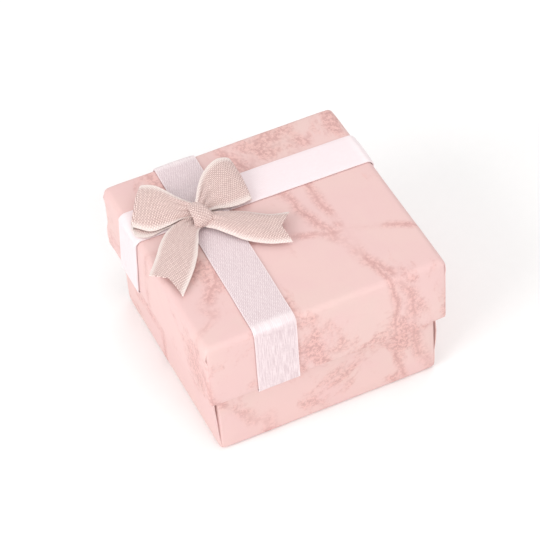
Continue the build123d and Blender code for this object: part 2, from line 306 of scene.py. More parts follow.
def ribbon_cloth(name, cloth, **surface):
    """Woven ribbon: rows of dashes, fine lines along it, and a band along each side. On the satin this is a
    narrow woven edge. On the bow it is a wide cream band that is partly woven edge and partly painted
    highlight.

    cloth gives its colours and, in millimetres, the pitch and length of its threads. smooth_past is how far
    from its middle a ribbon is pulled taut over an edge. There the dashes fade, the lines show and an even
    painted shade darkens the stretches down the lid's sides, and at the turn over the edge a painted
    highlight lightens it.
    """
    shader = Shader(name, **surface)
    where = shader.ribbon_place()
    parts = shader.node("SeparateXYZ", {"Vector": where}).outputs
    along = shader.math("ABSOLUTE", parts["X"])
    across = shader.math("ABSOLUTE", parts["Y"])
    slanted = shader.node("Mapping", {"Vector": where, "Rotation": (0, 0, cloth["slant"])}).outputs["Vector"]
    weave = shader.node("TexBrick", {
        "Vector": slanted, "Scale": 1.0, "Mortar Size": 0.30 * cloth["thread"], "Mortar Smooth": 1.0,
        "Bias": 0.0, "Brick Width": cloth["dash"], "Row Height": cloth["thread"],
        "Color1": (0, 0, 0, 1), "Color2": (1, 1, 1, 1),
    }, offset=0.5, offset_frequency=2)
    gaps, tone = weave.outputs["Fac"], weave.outputs["Color"]
    # Where the ribbon runs down the lid's sides the dashes fade, and an even share of the shade colour is
    # added there as painted shade.
    tight = shader.between(along, cloth["smooth_past"] - 1.5, cloth["smooth_past"] + 0.5)
    dashes = shader.math("MULTIPLY", gaps, shader.between(tight, 0, 1, cloth["grain"], 0.12 * cloth["grain"]))
    drawn_out = shader.node("Mapping", {"Vector": where, "Scale": (0.05, 1.0, 1.0)}).outputs["Vector"]
    lines = shader.between(shader.noise(drawn_out, 6, 2), 0.40, 0.62)
    lines = shader.math("MULTIPLY", lines, shader.between(tight, 0, 1, 0.12, 0.26))
    lines = shader.math("ADD", lines, shader.math("MULTIPLY", tight, 0.22))
    colour = shader.mix(lines, cloth["face"], cloth["shade"])
    colour = shader.mix(shader.math("MULTIPLY", tone, 0.16), colour, cloth["shade"])
    colour = shader.mix(dashes, colour, cloth["shade"])
    # Painted highlight: in a band where the ribbon turns over the lid's edge, its colour is lightened towards
    # a near-white colour.
    turn = shader.math("ABSOLUTE", shader.math("SUBTRACT", along, cloth["smooth_past"]))
    painted_glint = shader.between(turn, 1.6, 0.3, 0.0, 0.3)
    colour = shader.mix(painted_glint, colour, cloth["painted_glint"])
    # The band along each side is the satin's narrow woven edge. On the bow it is a wide cream band that is
    # partly a painted highlight on the front edges of its loops and tails.
    edge = RIBBON_WIDTH / 2 - cloth["selvedge_and_edge_highlight"]
    selvedge_and_edge_highlight = shader.between(across, edge - cloth["edge_blend"], edge + cloth["edge_blend"])
    colour = shader.mix(shader.math("MULTIPLY", selvedge_and_edge_highlight, 0.7), colour, cloth["edge"])
    raised = shader.math("ADD", shader.math("SUBTRACT", 1.0, dashes), shader.math("MULTIPLY", selvedge_and_edge_highlight, 0.6))
    tangent = shader.node("Tangent", direction_type="UV_MAP", uv_map="ribbon").outputs["Tangent"]
    shader.feed(shader.surface.inputs["Tangent"], tangent)
    return shader.finish(colour, shader.bump(raised, cloth["bump"]))


# One satin in two copies. The long ribbon's paler colours are a painted sheen. The cross ribbon's copy, with
# darker and deeper dashes, is painted shade.
SATIN_PAINTED_SHEEN = {
    "face": (0.92, 0.80, 0.825, 1), "shade": (0.78, 0.61, 0.635, 1), "edge": (0.90, 0.76, 0.775, 1),
    "painted_glint": (0.96, 0.90, 0.90, 1), "thread": 0.27, "dash": 0.5, "slant": 0.4, "grain": 0.35,
    "selvedge_and_edge_highlight": 0.22, "edge_blend": 0.12, "smooth_past": 25.2, "bump": 0.00003,
}
GRAINY_SATIN_PAINTED_SHADE = {**SATIN_PAINTED_SHEEN, "face": (0.985, 0.865, 0.875, 1), "shade": (0.38, 0.22, 0.26, 1), "grain": 0.8}
# The bow's edge colour is laid in a wide soft band on both sides. It is partly its woven edge and partly a
# painted highlight standing in for the light on the front edges of the loops and tails.
BOW_CLOTH = {
    "face": (1.0, 0.81, 0.755, 1), "shade": (0.30, 0.10, 0.09, 1), "edge": (1.0, 0.90, 0.85, 1),
    "painted_glint": (0.98, 0.85, 0.78, 1), "thread": 0.30, "dash": 0.56, "slant": 1.42, "grain": 0.85,
    "selvedge_and_edge_highlight": 0.7, "edge_blend": 0.6, "smooth_past": 60.0, "bump": 0.00007,
}
GLOSS = {"Roughness": 0.34, "Specular_IOR_Level": 0.85, "Anisotropic": 0.6, "Sheen_Weight": 0.12}
SOFT_GLOSS = {"Roughness": 0.42, "Specular_IOR_Level": 0.7, "Anisotropic": 0.4, "Sheen_Weight": 0.2}


def foam_material():
    """White open-cell foam: tiny hollows of one size, painted darker as shade."""
    shader = Shader("foam", Roughness=0.9, Specular_IOR_Level=0.2, Subsurface_Weight=0.2)
    shader.surface.inputs["Subsurface Radius"].default_value = (1.0, 1.0, 1.0)
    shader.surface.inputs["Subsurface Scale"].default_value = 0.0015
    flat = shader.place()
    cells = shader.node("TexVoronoi", {"Vector": flat, "Scale": 2500.0}, feature="F1").outputs["Distance"]
    pits_with_painted_shade = shader.between(cells, 0.15, 0.6)
    # Painted shade: the middles of the foam's cells are coloured darker, as shade in their hollows.
    colour = shader.mix(pits_with_painted_shade, (0.80, 0.79, 0.77, 1), (0.89, 0.88, 0.86, 1))
    return shader.finish(colour, shader.bump(pits_with_painted_shade, 0.00012))


def velvet_material():
    """Short-pile velvet: a sheen at grazing angles, and a nap that is brushed one way and the other."""
    shader = Shader("velvet", Roughness=0.95, Specular_IOR_Level=0.1, Sheen_Weight=0.9, Sheen_Roughness=0.35)
    flat = shader.place()
    nap = shader.between(shader.noise(flat, 120, 3, 0.6, 0.8), 0.35, 0.65)
    pile = shader.noise(flat, 4200, 2, 0.8)
    colour = shader.mix(nap, (0.885, 0.865, 0.84, 1), (0.92, 0.905, 0.885, 1))
    colour = shader.mix(shader.math("MULTIPLY", pile, 0.3), colour, (0.74, 0.71, 0.68, 1))
    normal = shader.bump(pile, 0.00012, 0.9, shader.bump(nap, 0.0002, 0.25))
    return shader.finish(colour, normal)


def glue_material():
    """Cloudy hot-melt glue with small bubbles."""
    shader = Shader("hot_glue", Roughness=0.3, Subsurface_Weight=0.4)
    shader.surface.inputs["Subsurface Radius"].default_value = (1.0, 0.9, 0.7)
    shader.surface.inputs["Subsurface Scale"].default_value = 0.001
    flat = shader.place()
    clouds = shader.noise(flat, 900, 3)
    colour = shader.mix(clouds, (0.88, 0.84, 0.74, 1), (0.96, 0.94, 0.88, 1))
    return shader.finish(colour, shader.bump(clouds, 0.0001, 0.6))


def make_materials():
    return {
        "marbled_paper": marbled_paper(),
        "greyboard": plain_paper("greyboard", (0.52, 0.49, 0.45, 1), (0.40, 0.37, 0.34, 1), 1300),
        "corner_tape": plain_paper("corner_tape", (0.60, 0.44, 0.28, 1), (0.48, 0.34, 0.20, 1)),
        "white_paper": plain_paper("white_paper", (0.88, 0.87, 0.85, 1), (0.82, 0.81, 0.79, 1)),
        # The long ribbon takes the pale copy of the satin, which is a painted sheen. The cross ribbon takes
        # the darker copy, which is painted shade.
        "satin_ribbon": ribbon_cloth("satin_ribbon", SATIN_PAINTED_SHEEN, **GLOSS),
        "grainy_satin_painted_shade_ribbon": ribbon_cloth("grainy_satin_painted_shade_ribbon", GRAINY_SATIN_PAINTED_SHADE, **GLOSS),
        "bow_ribbon": ribbon_cloth("bow_ribbon", BOW_CLOTH, **SOFT_GLOSS),
        "hot_glue": glue_material(),
        "foam": foam_material(),
        "velvet": velvet_material(),
    }


# ---------------------------------------------------------------- mesh helpers


CUT_EDGE_ANGLE = math.radians(50)


def add_piece(name, points, faces, slot, body, replaces, uvs=None, look=None):
    """A mesh piece from points in millimetres, riding on a body and standing for CAD nodes.

    It is smooth but for the cut edges of its sheets. look names its material where that isn't the slot's own.
    """
    mesh = bpy.data.meshes.new(name)
    mesh.from_pydata([tuple(p) for p in np.asarray(points) * MM], [], faces)
    mesh.validate()
    mesh.shade_smooth()
    mesh.set_sharp_from_angle(angle=CUT_EDGE_ANGLE)
    if uvs is not None:
        layer = mesh.uv_layers.new(name="ribbon")
        loops = np.zeros(len(mesh.loops), dtype=np.int32)
        mesh.loops.foreach_get("vertex_index", loops)
        layer.data.foreach_set("uv", (np.asarray(uvs)[loops] * MM).ravel())
    mesh.materials.append(materials[look or slot])
    piece = bpy.data.objects.new(name, mesh)
    bpy.context.scene.collection.objects.link(piece)
    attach(piece, body)
    for node in replaces:
        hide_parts(node)
    return piece


def grid_faces(rows, columns, start=0, flip=False, wrap=False):
    """Quads over a grid of points numbered row by row."""
    faces = []
    for i in range(rows - 1):
        for j in range(columns if wrap else columns - 1):
            k = (j + 1) % columns
            face = [start + i * columns + j, start + (i + 1) * columns + j,
                    start + (i + 1) * columns + k, start + i * columns + k]
            faces.append(face[::-1] if flip else face)
    return faces


def normals_of(grid):
    along, across = np.gradient(grid, axis=0), np.gradient(grid, axis=1)
    normal = np.cross(along, across)
    return normal / np.maximum(np.linalg.norm(normal, axis=2, keepdims=True), 1e-9)


def solid_sheet(grid, thickness):
    """Closed thin solid from a grid of points: the grid is its lower face. Gives its points and faces."""
    rows, columns = grid.shape[:2]
    upper = grid + normals_of(grid) * thickness
    points = np.concatenate([grid.reshape(-1, 3), upper.reshape(-1, 3)])
    count = rows * columns
    faces = grid_faces(rows, columns, 0, flip=True) + grid_faces(rows, columns, count)
    first_column = [i * columns for i in range(rows)]
    last_column = [i * columns + columns - 1 for i in range(rows)]
    first_row = list(range(columns))
    last_row = [(rows - 1) * columns + j for j in range(columns)]
    for line, turned in ((first_column, True), (last_column, False), (first_row, False), (last_row, True)):
        for a, b in zip(line, line[1:]):
            face = [a, b, b + count, a + count]
            faces.append(face[::-1] if turned else face)
    return points, faces


def smooth_line(points, count):
    """A smooth curve through given points, sampled evenly by point number (Catmull-Rom)."""
    points = np.asarray(points, dtype=float)
    padded = np.vstack([2 * points[0] - points[1], points, 2 * points[-1] - points[-2]])
    t = np.linspace(0, len(points) - 1 - 1e-9, count)
    i = t.astype(int)
    f = (t - i)[:, None]
    a, b, c, d = (padded[i + k] for k in range(4))
    return 0.5 * (2 * b + (c - a) * f + (2 * a - 5 * b + 4 * c - d) * f**2 + (3 * b - a - 3 * c + d) * f**3)


def run_along(line):
    """Length of a line of points up to each of them."""
    return np.concatenate([[0], np.cumsum(np.linalg.norm(np.diff(line, axis=0), axis=1))])


def wave(where, scale, seed=0.0):
    """Smooth noise from -1 to 1 at a point in millimetres."""
    return noise.noise(Vector(where) * scale + Vector((seed, 1.7 * seed, -seed)))


def step(value, low, high):
    share = np.clip((value - low) / (high - low), 0, 1)
    return share * share * (3 - 2 * share)


# ---------------------------------------------------------------- paper over the two trays


LIP = 0.45  # radius of the paper over the rim
BASE_FOLD = 1.1  # radius of the paper over the folds of the board
LID_FOLD = 1.3
UPRIGHT_RADIUS = 0.8  # at the upright corners
BLUNT_REACH = 2.4  # how far from a floor corner the board is worn soft
BLUNT_IN = 0.0035  # how far such a corner is drawn in, as a share of its place
BLUNT_UP = 0.09
UNEVEN = 0.05  # of the faces of a tray
FLAP_INSET = 0.10  # from the end of a side to the cut edge of its flap
FLAP_PROUD = 0.06  # of the outer face of a flap over the sheet below it
FLAP_BURIED = -0.10  # where it starts, under the sheet


def square_ring(half, radius, side=24, corner=5):
    """Points round a square with rounded corners, the same number whatever its size."""
    radius = min(radius, half * 0.9)
    straight = half - radius
    ring = []
    for quarter in range(4):
        turn = math.pi / 2 * quarter
        c, s = math.cos(turn), math.sin(turn)
        for y in np.linspace(-straight, straight, side, endpoint=False):
            ring.append((c * half - s * y, s * half + c * y))
        for angle in np.linspace(0, math.pi / 2, corner, endpoint=False):
            x, y = straight + radius * math.cos(angle), straight + radius * math.sin(angle)
            ring.append((c * x - s * y, s * x + c * y))
    return np.array(ring)


def tray_profile(size, height, fold):
    """(half size, height) from the middle of a tray's floor out, up, over the rim and down inside."""
    half = size / 2
    inner = half - BOARD_AND_WRAP
    line = [(h, 0.0) for h in np.linspace(0.6, half - fold, 22)]
    for angle in np.linspace(0, math.pi / 2, 8)[1:]:
        line.append((half - fold + fold * math.sin(angle), fold - fold * math.cos(angle)))
    steps = max(8, int((height - fold) / 1.3))
    line += [(half, z) for z in np.linspace(fold, height - LIP, steps)[1:]]
    for angle in np.linspace(0, math.pi / 2, 4)[1:]:
        line.append((half - LIP + LIP * math.cos(angle), height - LIP + LIP * math.sin(angle)))
    for angle in np.linspace(0, math.pi / 2, 4):
        line.append((inner + LIP - LIP * math.sin(angle), height - LIP + LIP * math.cos(angle)))
    line += [(inner, z) for z in np.linspace(height - LIP, height - TURN_IN, 6)[1:]]
    return np.array(line)


def outward_of(profile):
    """Unit vectors away from the board, at each point of a tray's profile."""
    tangent = np.gradient(profile, axis=0)
    outward = np.stack([tangent[:, 1], -tangent[:, 0]], axis=1)
    return outward / np.linalg.norm(outward, axis=1, keepdims=True)


def upright_radius(half, size):
    """Radius of an upright corner, smaller inside the tray and on its floor."""
    return UPRIGHT_RADIUS if half > size / 2 - 1 else UPRIGHT_RADIUS * 0.8


def softened(points, size, seed):
    """Points of a tray with its floor corners blunted and its faces slightly uneven."""
    points = np.array(points, dtype=float)
    away = np.linalg.norm(np.abs(points) - (size / 2, size / 2, 0), axis=1)
    blunt = np.maximum(0, 1 - away / BLUNT_REACH)
    points[:, :2] *= 1 - BLUNT_IN * blunt[:, None]
    points[:, 2] += BLUNT_UP * blunt
    for p in points:
        p += UNEVEN * np.array([wave(p, 0.11, seed), wave(p, 0.11, seed + 9), wave(p, 0.11, seed + 5)])
        p[2] = max(p[2], 0.0)
    return points


def tray_sheet(size, height, fold, seed):
    """The main sheet over a tray that opens upwards: floor, sides and the strip turned in at the rim."""
    profile = tray_profile(size, height, fold)
    outward = outward_of(profile)
    layers = []
    for depth in (0.0, PAPER - 0.01):
        points = []
        for (half, z), out in zip(profile, outward):
            radius = upright_radius(half, size)
            for x, y in square_ring(half - depth * out[0], radius - depth):
                points.append((x, y, z - depth * out[1]))
        layers.append(softened(points, size, seed))
    count = len(square_ring(1, 0.1))
    rows = len(profile)
    total = rows * count
    faces = grid_faces(rows, count, 0, flip=True, wrap=True) + grid_faces(rows, count, total, wrap=True)
    faces.append(list(range(count))[::-1])
    faces.append(list(range(total, total + count)))
    for j in range(count):
        a, b = total - count + j, total - count + (j + 1) % count
        faces.append([a, b, b + total, a + total])
    layers[1][:, 2] = np.maximum(layers[1][:, 2], 0.5 * PAPER)
    return np.concatenate(layers), faces


def cover_flap(size, height, fold, side, lifts, seed):
    """The side flap, whose cut edges end at the corners over the tabs of the front and back flaps.

    lifts gives how far a cut edge springs off, by height: {"front" or "back": [(height, distance), ...]}.
    A shut edge follows the rounded corner and a sprung one stays straight.
    """
    profile = tray_profile(size, height, fold)
    outward = outward_of(profile)
    used = [i for i, p in enumerate(profile) if p[0] > size / 2 - fold - 0.5][1:-2]
    columns = 41
    grid = np.zeros((len(used), columns, 3))
    for i, row in enumerate(used):
        (half, z), out = profile[row], outward[row]
        radius = upright_radius(half, size)
        run_in = step(i, 0, 8)
        rise = FLAP_BURIED + (FLAP_PROUD - FLAP_BURIED) * run_in - PAPER
        for j in range(columns):
            s = 1 - 2 * j / (columns - 1)
            y = (half - FLAP_INSET) * (1.35 * s - 0.35 * s**3)
            lift = np.interp(z, *zip(*lifts["front" if y < 0 else "back"]))
            sprung = min(1.0, lift / 0.15)
            bend = max(0.0, abs(y) - (half - radius)) / radius * (1 - sprung)
            fall = radius * (1 - math.sqrt(1 - bend * bend))
            x = half - fall + rise * out[0] * math.sqrt(1 - bend * bend)
            x += lift * step(abs(y), size / 2 - 3.5, size / 2) * run_in
            grid[i, j] = (x, y + rise * out[0] * bend * math.copysign(1, y), z + rise * out[1])
    if side < 0:
        grid[:, :, 0] *= -1
        grid = grid[:, ::-1]
    grid = softened(grid.reshape(-1, 3), size, seed).reshape(grid.shape)
    return solid_sheet(grid, PAPER)


def paper_wrap(name, node, low, high, fold, opens_up, lifts, seed):
    """Main sheet and two cover flaps as one piece."""
    size, height = high[0] - low[0], high[2] - low[2]
    points, faces = tray_sheet(size, height, fold, seed)
    for side, flap_lifts in lifts.items():
        more, more_faces = cover_flap(size, height, fold, side, flap_lifts, seed)
        faces += [[k + len(points) for k in face] for face in more_faces]
        points = np.concatenate([points, more])
    if opens_up:
        points[:, 2] += low[2]
    else:
        points[:, 2] = high[2] - points[:, 2]
        faces = [face[::-1] for face in faces]
    return add_piece(name, points, faces, "marbled_paper", node.split("_")[0], [node])


def make_wraps():
    """The two wraps. Their cut edges spring a little off the corners, more in some places than in others."""
    shut = [(0, 0.0), (40, 0.0)]
    base_lifts = {
        -1: {
            "front": [(0, 0.0), (3, 0.04), (8, 0.2), (13, 0.46), (15, 0.42), (17, 0.1), (31, 0.0)],
            "back": shut,
        },
        1: {"front": [(0, 0.0), (6, 0.03), (11, 0.36), (15, 0.12), (17, 0.0), (31, 0.0)], "back": shut},
    }
    lid_lifts = {
        -1: {
            "front": [(0, 0.0), (1.4, 0.0), (2.2, 0.40), (3.0, 0.0), (16, 0.0)],
            "back": [(0, 0.0), (1.6, 0.0), (2.6, 0.15), (3.6, 0.0), (9.5, 0.0), (12.5, 0.25), (16, 0.12)],
        },
        1: {"front": [(0, 0.0), (1.2, 0.0), (2.0, 0.38), (2.8, 0.02), (16, 0.0)], "back": shut},
    }
    paper_wrap("base_paper", "base_wrap", BASE_LOW, BASE_HIGH, BASE_FOLD, True, base_lifts, 3.0)
    paper_wrap("lid_paper", "lid_wrap", LID_LOW, LID_HIGH, LID_FOLD, False, lid_lifts, 11.0)


# ---------------------------------------------------------------- ribbons round the lid


RIBBON_DROP = 16.0  # from the top of the lid to its rim
RIBBON_OFF = 0.16  # of the path of a ribbon from the side of the lid
CROSSING_RISE = 0.34  # of the upper ribbon where it crosses the lower one
CROSSING_REACH = (4.2, 5.8)  # from the middle of the lower ribbon, where that rise ends and begins


def rounded_path(corners, radii, spacing):
    """Points along straight runs joined by arcs, in two dimensions."""
    corners = [np.array(c, dtype=float) for c in corners]
    path = [corners[0]]
    for before, here, after, radius in zip(corners, corners[1:], corners[2:], radii):
        a, b = (before - here) / np.linalg.norm(before - here), (after - here) / np.linalg.norm(after - here)
        half = math.acos(np.clip(a @ b, -1, 1)) / 2
        start, end = here + a * radius / math.tan(half), here + b * radius / math.tan(half)
        centre = here + (a + b) / np.linalg.norm(a + b) * radius / math.sin(half)
        path.append(start)
        sweep = math.pi - 2 * half
        steps = max(4, int(sweep * radius / 0.25))
        for k in range(1, steps):
            share = k / steps
            u = (start - centre) * math.sin((1 - share) * sweep) + (end - centre) * math.sin(share * sweep)
            path.append(centre + u / math.sin(sweep))
        path.append(end)
    path.append(corners[-1])
    dense = [path[0]]
    for a, b in zip(path, path[1:]):
        steps = max(1, int(np.linalg.norm(b - a) / spacing))
        dense += [a + (b - a) * k / steps for k in range(1, steps + 1)]
    return np.array(dense)


def lid_ribbon(name, node, run, middle, ends, lean, hump_middle, look, seed):
    """A ribbon round the lid: up inside the skirt, under the rim and over the top.

    run is the axis it lies along and middle its place across. ends says how far it is off that at its low and
    its high end, and lean how far it drifts on its way down at the low end. hump_middle is the middle of the
    ribbon that it crosses, or None.
    """
    half = LID_HIGH[0]
    inner = half - BOARD_AND_WRAP - RIBBON - 0.02
    low = LID_RIM - RIBBON - 0.05
    outside = half + RIBBON_OFF
    top = LID_TOP + 0.10
    tuck = LID_RIM + TURN_IN - 0.2
    corners = [(-inner, tuck), (-inner, low), (-outside, low), (-outside, top),
               (outside, top), (outside, low), (inner, low), (inner, tuck)]
    path = rounded_path(corners, [0.3, 0.35, 1.35, 1.35, 0.35, 0.3], 0.26)
    length = run_along(path)
    length -= length[-1] / 2
    columns = 21
    grid = np.zeros((len(path), columns, 3))
    uvs = np.zeros((len(path), columns, 2))
    tangent = np.gradient(path, axis=0)
    outward = np.stack([-tangent[:, 1], tangent[:, 0]], axis=1)
    outward /= np.linalg.norm(outward, axis=1, keepdims=True)
    for i, (h, z) in enumerate(path):
        free = step(z, LID_RIM - 0.1, LID_RIM + 3)
        down = max(0.0, abs(length[i]) - half)
        drift = np.interp(h, (-half, half), ends) + (lean * down / RIBBON_DROP if h < 0 else 0)
        if hump_middle is not None and z > LID_TOP:
            near, far = CROSSING_REACH
            climbed = step(h, hump_middle - far, hump_middle - near)
            z += CROSSING_RISE * (climbed - step(h, hump_middle + near, hump_middle + far))
        for j in range(columns):
            t = 1 - 2 * j / (columns - 1)
            across = t * (RIBBON_WIDTH / 2 - 0.02) + 0.06 * wave((h, z, 0), 0.12, seed)
            swell = 0.09 * (1 - t * t) + 0.05 * wave((h, across, z), 0.25, seed + 4)
            pucker = 0.6 + 0.8 * wave((0, 3 * across, 0), 0.4, seed + 2)
            crease = 0.10 * math.exp(-((down - 0.2) / 0.6) ** 2)
            crease -= 0.17 * pucker * math.exp(-((down - 1.3) / 0.32) ** 2)
            off = outward[i] * (swell * free + crease * (abs(t) < 0.95) * free)
            place = (h + off[0], middle + drift + across, z + off[1])
            grid[i, j] = place if run == "x" else (place[1], place[0], place[2])
            uvs[i, j] = (length[i], t * RIBBON_WIDTH / 2)
    if run == "x":
        grid, uvs = grid[:, ::-1], uvs[:, ::-1]
    points, faces = solid_sheet(grid, RIBBON - 0.03)
    flat_uvs = np.concatenate([uvs.reshape(-1, 2)] * 2)
    piece = add_piece(name, points, faces, "satin_ribbon", "lid", [node], flat_uvs, look)


def make_lid_ribbons():
    long_low, long_high = box_mm("ribbon_long")
    cross_low, cross_high = box_mm("ribbon_cross")
    long_middle = (long_low[1] + long_high[1]) / 2
    cross_middle = (cross_low[0] + cross_high[0]) / 2
    # The long ribbon takes the pale copy of the satin (painted sheen), and the cross ribbon takes the darker
    # one (painted shade).
    lid_ribbon("ribbon_band_long", "ribbon_long", "x", long_middle, (0.3, -0.6), 2.6, None,
               "satin_ribbon", 2.0)
    lid_ribbon("ribbon_band_cross", "ribbon_cross", "y", cross_middle, (-0.4, 0.8), 0.0, long_middle,
               "grainy_satin_painted_shade_ribbon", 6.0)


# ---------------------------------------------------------------- bow

RIBBON_UNEVEN = 0.12  # of the pieces of the bow
KNOT_RUN = 13.5  # length of the ribbon round the knot

# Each piece is a ribbon between two edges. An edge is a short list of points: right, back and up in
# millimetres from the middle of the knot, with heights from the top of the lid.
LEFT_LOOP_BACK = [
    (-0.4, 2.0, 3.3), (-2.6, 4.6, 3.7), (-4.0, 7.3, 3.9), (-5.5, 10.0, 3.8), (-7.6, 12.1, 2.8),
    (-6.4, 10.7, 1.2), (-4.4, 7.6, 0.8), (-1.8, 3.9, 0.9), (-0.2, 1.6, 1.3),
]
LEFT_LOOP_FRONT = [
    (-0.7, -0.4, 2.1), (-3.7, 0.9, 1.35), (-7.0, 0.7, 1.15), (-10.3, 0.9, 1.1), (-13.0, 3.4, 1.25),
    (-13.2, 1.2, 1.0), (-10.9, -0.1, 0.9), (-7.0, 0.4, 0.85), (-0.8, 0.0, 1.1),
]
RIGHT_LOOP_BACK = [
    (0.3, 2.1, 3.3), (2.9, 6.2, 4.0), (5.7, 9.1, 4.3), (8.9, 10.8, 4.1), (11.4, 10.7, 2.9),
    (9.4, 9.3, 1.3), (6.2, 8.2, 0.8), (2.8, 4.9, 0.9), (0.4, 1.8, 1.3),
]
RIGHT_LOOP_FRONT = [
    (0.7, -0.4, 2.1), (3.8, 0.2, 1.35), (7.0, -0.4, 1.1), (9.4, -0.5, 1.1), (11.1, -0.4, 1.25),
    (9.6, 0.1, 0.95), (6.6, 0.1, 0.85), (3.4, 0.3, 0.85), (0.9, 0.0, 1.1),
]
LEFT_TAIL_BACK = [
    (-1.2, 0.4, 1.3), (-4.4, 0.4, 1.2), (-7.4, -1.0, 1.3), (-10.1, -3.8, 1.5), (-12.6, -7.2, 1.5),
    (-15.4, -10.5, 1.2),
]
LEFT_TAIL_FRONT = [
    (0.2, -2.4, 1.3), (-1.9, -4.0, 1.6), (-3.4, -7.1, 1.8), (-5.2, -10.6, 1.6), (-7.6, -13.9, 1.2),
    (-11.7, -18.4, 0.6),
]
RIGHT_TAIL_BACK = [
    (0.6, -0.4, 1.4), (3.2, -1.1, 1.6), (5.4, -2.1, 1.8), (8.0, -3.8, 2.0), (12.4, -7.0, 1.9),
    (16.2, -8.0, 1.6),
]
RIGHT_TAIL_FRONT = [
    (-0.4, -2.8, 1.4), (1.5, -4.8, 1.5), (3.6, -7.6, 1.2), (5.9, -10.3, 0.9), (9.6, -13.2, 0.7),
    (13.6, -15.1, 0.8),
]


def ribbon_between(name, node, edges, crown, pleat, notch=0.0, rows=72):
    """A piece of the bow: a ribbon from one edge to the other.

    crown(share along) arches it, pleat(share along, place across) folds it, and notch is the depth of the
    fishtail cut at its end.
    """
    columns = 25
    back, front = (smooth_line(e, rows) for e in edges)
    u = np.linspace(0, 1, rows)
    t = np.linspace(-1, 1, columns)
    grid = np.zeros((rows, columns, 3))
    run = run_along((back + front) / 2)[-1]
    for j, tj in enumerate(t):
        shorter = u * (1 - notch / run * (1 - abs(tj)))
        a = np.stack([np.interp(shorter, u, back[:, k]) for k in range(3)], axis=1)
        b = np.stack([np.interp(shorter, u, front[:, k]) for k in range(3)], axis=1)
        grid[:, j] = a * (1 - tj) / 2 + b * (1 + tj) / 2
    normal = normals_of(grid)
    arch = np.array([[crown(ui) * (1 - abs(tj) ** 3) + pleat(ui, tj) for tj in t] for ui in u])
    grid = grid + normal * arch[:, :, None]
    grid += np.array([KNOT[0], KNOT[1], LID_TOP])
    points, faces = solid_sheet(grid, BOW_RIBBON)
    uvs = []
    for layer in points.reshape(2, rows, columns, 3):
        length = run_along((layer[:, 0] + layer[:, -1]) / 2)
        for ui in u:
            along = np.interp(ui * (1 - notch / run * (1 - np.abs(t))), u, length)
            uvs.append(np.stack([along, t * RIBBON_WIDTH / 2], axis=1))
    piece = add_piece(name, points, faces, "bow_ribbon", "lid", [node], np.concatenate(uvs))
    return piece, run


def make_loops():
    sides = (
        ("left", (LEFT_LOOP_BACK, LEFT_LOOP_FRONT), 1.0),
        ("right", (RIGHT_LOOP_FRONT, RIGHT_LOOP_BACK), 4.0),
    )
    for side, edges, seed in sides:

        def crown(u):
            return 0.62 * math.sin(math.pi * min(1, u / 0.62)) ** 0.7

        def pleat(u, t):
            near = (1 - step(u, 0.02, 0.3)) + (1 - step(1 - u, 0.02, 0.25))
            folds = 0.22 * near * math.cos(3.2 * math.pi * t + seed)
            return folds + RIBBON_UNEVEN * wave((6 * u, 1.4 * t, seed), 1.0, seed)

        piece, run = ribbon_between(f"bow_{side}_loop_ribbon", f"bow_{side}_loop", edges, crown, pleat)


def make_tails():
    sides = (
        ("left", (LEFT_TAIL_BACK, LEFT_TAIL_FRONT), 0.5, 1.3, 7.0),
        ("right", (RIGHT_TAIL_FRONT, RIGHT_TAIL_BACK), 1.5, 1.7, 13.0),
    )
    for side, edges, arch, notch, seed in sides:

        def crown(u):
            return arch * (0.55 + 0.45 * math.sin(math.pi * u)) * step(u, -0.1, 0.2)

        def pleat(u, t):
            near = 1 - step(u, 0.05, 0.5)
            folds = 0.2 * near * math.cos(3 * math.pi * t + seed)
            return folds + RIBBON_UNEVEN * wave((4 * u, 1.2 * t, seed), 1.0, seed)

        node = f"bow_{side}_tail"
        piece, run = ribbon_between(node + "_ribbon", node, edges, crown, pleat, notch, 56)


def make_knot():
    """The knot: ribbon folded in half and drawn round the waist, with pleats along it."""
    rows, columns = 64, 25
    half_length, half_height, half_width = 3.0, 1.4, 1.6
    grid = np.zeros((rows, columns, 3))
    uvs = np.zeros((rows, columns, 2))
    centre = np.array([KNOT[0] - 0.2, KNOT[1] - 0.3, LID_TOP + 2.3])
    for i in range(rows):
        angle = 2 * math.pi * i / (rows - 1)
        c, s = math.cos(angle), math.sin(angle)
        for j in range(columns):
            t = 2 * j / (columns - 1) - 1
            swell = 1 - 0.28 * t**4 + 0.018 * math.cos(3.5 * math.pi * t + 1.5 * math.sin(angle))
            out = half_length * math.copysign(abs(c) ** 0.85, c) * swell
            up = half_height * math.copysign(abs(s) ** 0.85, s) * swell
            aside = t * half_width * (1 + 0.05 * c * c - 0.25 * c) + 0.3 * c
            grid[i, j] = centre + (-aside, out, up)
            uvs[i, j] = (KNOT_RUN * i / (rows - 1), t * RIBBON_WIDTH / 4)
    points, faces = solid_sheet(grid[:, ::-1], BOW_RIBBON)
    flat_uvs = np.concatenate([uvs[:, ::-1].reshape(-1, 2)] * 2)
    piece = add_piece("bow_knot_band", points, faces, "bow_ribbon", "lid", ["bow_knot"], flat_uvs)


